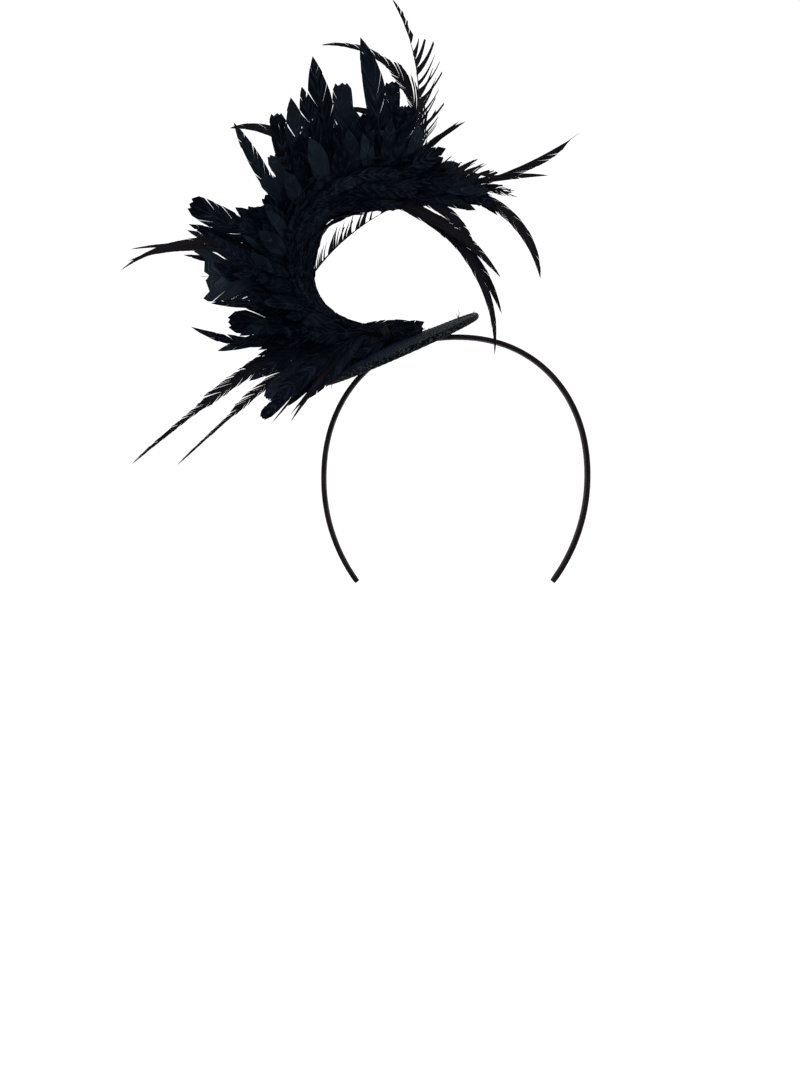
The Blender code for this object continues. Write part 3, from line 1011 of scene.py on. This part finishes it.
def bandSpot(share):
    half = (bandSpan - band["thickness"]) / 2
    rise = band["rise"] - band["thickness"] / 2
    middle = band["thickness"] - band["rise"]
    side = -1 if share < 0.5 else 1
    endShare = min(share, 1 - share)
    if endShare < legShare:
        sweep = legSweep * (1 - endShare / legShare)
        radius = band["legRadius"] - band["thickness"] / 2
        spot = Vector((side * (half - radius * (1 - math.cos(sweep))), 0, middle - radius * math.sin(sweep)))
        return spot, Vector((side * math.cos(sweep), 0, -math.sin(sweep)))
    angle = math.pi / 2 * (endShare - legShare) / (0.5 - legShare)
    power = 2 / band["squareness"]
    aside = side * half * signedPower(math.cos(angle), power)
    outX = side * signedPower(math.cos(angle), 2 - power) / half
    outZ = math.sin(angle) ** (2 - power) / rise
    return Vector((aside, 0, middle + rise * math.sin(angle) ** power)), Vector((outX, 0, outZ)).normalized()


def makeHeadband():
    mesh = bmesh.new()
    swing, drift = band["puckerDrift"]

    def place(share, turn):
        centre, out = bandSpot(share)
        angle = 2 * math.pi * turn
        toEnd = min(share, 1 - share) * bandLength
        narrowing = min(1.0, band["tipShare"] + (1 - band["tipShare"]) * math.sqrt(toEnd / (bandWidth / 2)))
        wide = bandWidth / 2 * narrowing * signedPower(math.cos(angle), band["sectionPower"])
        thick = band["thickness"] / 2 * signedPower(math.sin(angle), band["sectionPower"])
        pucker = math.sin(2 * math.pi * share * band["puckers"] + swing * math.sin(share * drift))
        pucker *= band["pucker"]
        if math.sin(angle) < 0:
            thick -= band["seamHeight"] * math.exp(-((wide / band["seamWidth"]) ** 2)) + abs(pucker)
        return centre + yAxis * (wide + pucker) + out * thick

    addTube(mesh, band["grid"], place, bandLength, bandWidth * band["girth"])
    makePiece("satinBand", mesh, (makeSatin(satinLook),), "black_satin", "headband")


def makeSatin(look):
    material, tree, shader = newMaterial("blackSatin", look)
    weave = groupNode(tree, plainWeave)
    weave.inputs["Pitch"].default_value = look["pitch"]
    tree.links.new(barbsMap(tree), weave.inputs["Vector"])
    patch = objectNoise(tree, look["scale"], look["detail"])
    tint = mixColour(tree, mapRange(tree, patch, *look["wear"]), look["dark"], look["worn"])
    tree.links.new(tint, shader.inputs["Base Color"])
    addRoughness(tree, shader, weave.outputs["Slub"], look)
    addBump(tree, shader, weave.outputs["Height"], look["depth"])
    return material


makeHeadband()

# Disc: stiff black straw cloth, woven on both faces over a thin core. Straws differ in width, place and tone
cloth = {
    "pitch": 0.00125,
    "halfWidth": (0.40, 0.47),
    "drift": 0.08,
    "tonePower": 3,
    "rise": 0.00016,
    "round": 0.5,
    "level": 0.00062,
    "edge": 0.0003,
    "thickness": 0.00012,
    "stepsPerPitch": 2,
    "mapStep": 7,
    "core": 0.0005,
    "coreRings": 14,
    "coreSides": 96,
}
weaveLook = {
    "dark": (0.0026, 0.0056, 0.0110),
    "pale": (0.0480, 0.0660, 0.0800),
    "fleck": (0.55, 0.75),
    "seed": 0.4,
    "depth": 0.00012,
    "roughness": (0.5, 0.75),
    "specular": 0.012,
}


def discSpot(x, y, lift):
    drop = disc["dome"] * (x * x + y * y) / disc["radius"] ** 2
    return discMiddle + discTurn @ Vector((x, y, lift - drop))


def makeStraw(look):
    material, tree, shader = newMaterial("wovenStraw", look)
    lines = groupNode(tree, barbLines)
    lines.inputs["Seed"].default_value = look["seed"]
    tree.links.new(barbsMap(tree), lines.inputs["UV"])
    fleck = mapRange(tree, lines.outputs["Lines"], *look["fleck"])
    pale = times(tree, fleck, toneMap(tree))
    tree.links.new(mixColour(tree, pale, look["dark"], look["pale"]), shader.inputs["Base Color"])
    addRoughness(tree, shader, lines.outputs["Clumps"], look)
    addBump(tree, shader, lines.outputs["Lines"], look["depth"])
    return material


def addStraw(mesh, uvLayer, toneLayer, number, alongX, face, dice):
    offset = number * cloth["pitch"]
    reach = math.sqrt(disc["radius"] ** 2 - offset ** 2) - cloth["edge"]
    half = cloth["pitch"] * dice.uniform(*cloth["halfWidth"])
    middle = offset + stray(dice, cloth["drift"]) * cloth["pitch"]
    tone = dice.random() ** cloth["tonePower"]
    steps = max(2, round(reach * 2 * cloth["stepsPerPitch"] / cloth["pitch"]))

    def place(share, across):
        along = reach * (2 * share - 1)
        cell = along / cloth["pitch"] + number + (0 if alongX else 1)
        back = cloth["round"] * (1 - abs(2 * across - 1))
        lift = cloth["rise"] * (math.sin(cell * math.pi) + back)
        side = middle + half * (2 * across - 1)
        x, y = (along, side) if alongX else (side, along)
        return discSpot(x, y, face * (cloth["level"] + lift))

    for vert, (share, across) in addSheet(mesh, (steps, 2), place).items():
        vert[toneLayer] = tone
        for loop in vert.link_loops:
            loop[uvLayer].uv = (reach * 2 * perMetre * share + number * cloth["mapStep"], across)


def makeDiscCloth(name, face):
    dice = random.Random(name)
    mesh = bmesh.new()
    uvLayer = mesh.loops.layers.uv.new("barbs")
    toneLayer = mesh.verts.layers.float.new("tone")
    count = int(disc["radius"] / cloth["pitch"])
    for number in range(-count, count + 1):
        for alongX in (True, False):
            addStraw(mesh, uvLayer, toneLayer, number, alongX, face, dice)
    makePiece(name, mesh, (strawMaterial,), "black_weave", "base_disc", cloth["thickness"])


def makeDiscCore():
    mesh = bmesh.new()
    rings = cloth["coreRings"]
    stages = rings * 2 + 1

    def place(share, turn):
        # Out from the middle over the top, and back to it under the disc
        stage = round(share * stages)
        face = 1 if stage <= rings else -1
        radius = disc["radius"] * (stage if face > 0 else stages - stage) / rings
        angle = 2 * math.pi * turn
        return discSpot(radius * math.cos(angle), radius * math.sin(angle), face * cloth["core"])

    addTube(mesh, (stages, cloth["coreSides"]), place)
    makePiece("discCore", mesh, (strawMaterial,), "black_weave", "base_disc")


strawMaterial = makeStraw(weaveLook)
makeDiscCloth("discTopCloth", 1)
makeDiscCloth("discUnderCloth", -1)
makeDiscCore()

# Rolled edge: bias cloth drawn round the disc's edge in small puckers, which swing apart and together
rim = {
    "thickness": 0.0038,
    "cover": 0.0010,
    "puckers": 74,
    "puckerDepth": 0.035,
    "swing": 2.2,
    "swings": 7,
    "grid": (480, 20),
}
biasLook = {
    "dark": (0.0006, 0.0012, 0.0026),
    "pale": (0.0340, 0.0440, 0.0520),
    "fleck": (0.50, 0.68),
    "scale": 900.0,
    "detail": 3.0,
    "pitch": 0.62,
    "turn": 45,
    "depth": 0.00010,
    "roughness": (0.5, 0.72),
    "specular": 0.015,
}
rimMiddleRadius = disc["radius"] + rim["thickness"] / 2 - rim["cover"]


def rimSpot(around, angle, radius):
    turn = 2 * math.pi * around
    out = discTurn @ Vector((math.cos(turn), math.sin(turn), 0))
    edge = discSpot(disc["radius"] * math.cos(turn), disc["radius"] * math.sin(turn), 0)
    centre = edge + out * (rimMiddleRadius - disc["radius"])
    return centre + (out * math.cos(angle) + discUp * math.sin(angle)) * radius


def makeBias(look):
    material, tree, shader = newMaterial("biasEdge", look)
    weave = groupNode(tree, plainWeave)
    weave.inputs["Pitch"].default_value = look["pitch"]
    slant = tree.nodes.new("ShaderNodeMapping")
    slant.inputs["Rotation"].default_value = (0, 0, math.radians(look["turn"]))
    tree.links.new(barbsMap(tree), slant.inputs["Vector"])
    tree.links.new(slant.outputs[0], weave.inputs["Vector"])
    patch = objectNoise(tree, look["scale"], look["detail"])
    fleck = times(tree, mapRange(tree, patch, *look["fleck"]), weave.outputs["Height"])
    tree.links.new(mixColour(tree, fleck, look["dark"], look["pale"]), shader.inputs["Base Color"])
    addRoughness(tree, shader, patch, look)
    addBump(tree, shader, weave.outputs["Height"], look["depth"])
    return material


def makeRim():
    mesh = bmesh.new()

    def place(around, turn):
        uneven = rim["swing"] * math.sin(2 * math.pi * around * rim["swings"])
        wave = math.sin(2 * math.pi * (around * rim["puckers"] + turn) + uneven)
        radius = rim["thickness"] / 2 * (1 + rim["puckerDepth"] * wave)
        return rimSpot(around, 2 * math.pi * turn, radius)

    addTube(mesh, rim["grid"], place, 2 * math.pi * rimMiddleRadius, math.pi * rim["thickness"])
    makePiece("rolledEdge", mesh, (makeBias(biasLook),), "black_bias_edge", "rim_binding")


makeRim()

# Stitches: one row along the edge's inner side above the disc and one below, each a short slanted thread
stitch = {
    "count": 96,
    "angles": (128, 232),
    "stray": 0.15,
    "length": 0.0017,
    "radius": 0.00017,
    "lean": (0.25, 0.5),
    "seat": 0.49,
    "blunt": 0.02,
    "taper": 0.4,
    "grid": (4, 6),
}
threadLook = {
    "dark": (0.0006, 0.0008, 0.0018),
    "pale": (0.0045, 0.0052, 0.0070),
    "scale": 1400.0,
    "patch": (0.4, 0.7),
    "depth": 0.00008,
    "roughness": 0.55,
    "specular": 0.08,
}
threadMaterial = makeMottled("blackThread", threadLook)


def addStitch(mesh, around, angle, lean):
    span = stitch["length"] / (2 * math.pi * disc["radius"])

    def middleAt(share):
        past = share - 0.5
        return rimSpot(around + span * past, angle + lean * past, rim["thickness"] * stitch["seat"])

    def place(share, turn):
        spot = middleAt(share)
        way = (middleAt(share + 0.01) - spot).normalized()
        first = way.orthogonal().normalized()
        swell = math.sin(math.pi * min(max(share, stitch["blunt"]), 1 - stitch["blunt"])) ** stitch["taper"]
        return spot + turned(first, way.cross(first), turn) * stitch["radius"] * swell

    addTube(mesh, stitch["grid"], place)


def makeStitches():
    mesh = bmesh.new()
    dice = random.Random("stitches")
    for index in range(stitch["count"]):
        for angle in stitch["angles"]:
            around = (index + stray(dice, stitch["stray"])) / stitch["count"]
            addStitch(mesh, around, math.radians(angle), dice.uniform(*stitch["lean"]))
    makePiece("edgeStitches", mesh, (threadMaterial,), "black_thread", "rim_binding")


makeStitches()

# Binding: two layers of thread wound round the foot of the feathers and down to the disc
bindLow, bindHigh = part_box("foot_binding")
winding = {
    "place": 0.056,
    "span": 0.0044,
    "turns": 8,
    "slips": (0.0, 1.4),
    "radius": 0.00030,
    "top": 0.0026,
    "clear": 0.0006,
    "cover": 1.2,
    "drift": 0.01,
    "driftTurns": (0.37, 5),
    "grid": (288, 7),
}
windCentre = curlSpot(winding["place"])[0]
windOuter = (bindHigh.y - bindLow.y) / 2
fromDisc = windCentre - discMiddle
windAside = (fromDisc - discUp * fromDisc.dot(discUp)).length
discTop = disc["thickness"] / 2 - disc["dome"] * (windAside / disc["radius"]) ** 2
windDepth = fromDisc.dot(discUp) - discTop - winding["clear"]


def windingSpot(share, slip):
    angle = 2 * math.pi * share * winding["turns"]
    perTurn, perSlip = winding["driftTurns"]
    drift = winding["drift"] * math.sin(angle * perTurn + slip * perSlip)
    reach = windOuter - winding["radius"] * (winding["cover"] + slip)
    reach += (windDepth - reach) * max(0.0, math.cos(angle)) ** 2
    reach += (winding["top"] - reach) * max(0.0, -math.cos(angle)) ** 2
    away = discUp * -math.cos(angle) + discFront * math.sin(angle)
    return windCentre - discRight * winding["span"] * (share - 0.5 + drift) + away * reach


def addWinding(mesh, slip):
    def place(share, turn):
        spot = windingSpot(share, slip)
        way = (windingSpot(share + 0.001, slip) - spot).normalized()
        first = (spot - windCentre).normalized()
        return spot + turned(first, way.cross(first).normalized(), turn) * winding["radius"]

    addTube(mesh, winding["grid"], place)


def makeWinding():
    mesh = bmesh.new()
    for slip in winding["slips"]:
        addWinding(mesh, slip)
    makePiece("threadWinding", mesh, (threadMaterial,), "black_thread", "foot_binding")


makeWinding()

# Loose fibres that stand off the rolled edge: share round the edge, angle round its section, heading and fan
# of the fibre, its length and how far it curls
fibreColumns = ("around", "angle", "heading", "fan", "length", "curl")
fibreRows = (
    (0.087, 80, 75, 10, 0.0065, 50),
    (0.087, 80, 85, -5, 0.0045, -40),
    (0.088, 80, 125, 20, 0.0042, -35),
    (0.082, 85, 135, 10, 0.0030, 30),
    (0.175, 85, 50, 20, 0.0050, -35),
    (0.020, 70, 48, -20, 0.0032, 60),
    (0.560, 250, 250, 10, 0.0045, 50),
    (0.180, 95, 80, -40, 0.0050, 45),
)
fibre = {"radius": 0.00024, "blunt": 0.05, "seat": 0.46, "grid": (12, 5)}


def addFibre(mesh, row):
    steps = fibre["grid"][0]

    def place(share, turn):
        spot = rimSpot(row["around"], math.radians(row["angle"]), rim["thickness"] * fibre["seat"])
        for step in range(round(share * steps)):
            way = headed(row["heading"] + row["curl"] * step / steps, row["fan"])
            spot = spot + way * row["length"] / steps
        return spot + turned(xAxis, yAxis, turn) * fibre["radius"] * (1 + fibre["blunt"] - share)

    addTube(mesh, fibre["grid"], place)


def makeFibres():
    mesh = bmesh.new()
    for row in namedRows(fibreColumns, fibreRows):
        addFibre(mesh, row)
    makePiece("looseFibres", mesh, (threadMaterial,), "black_thread", "rim_binding")


makeFibres()
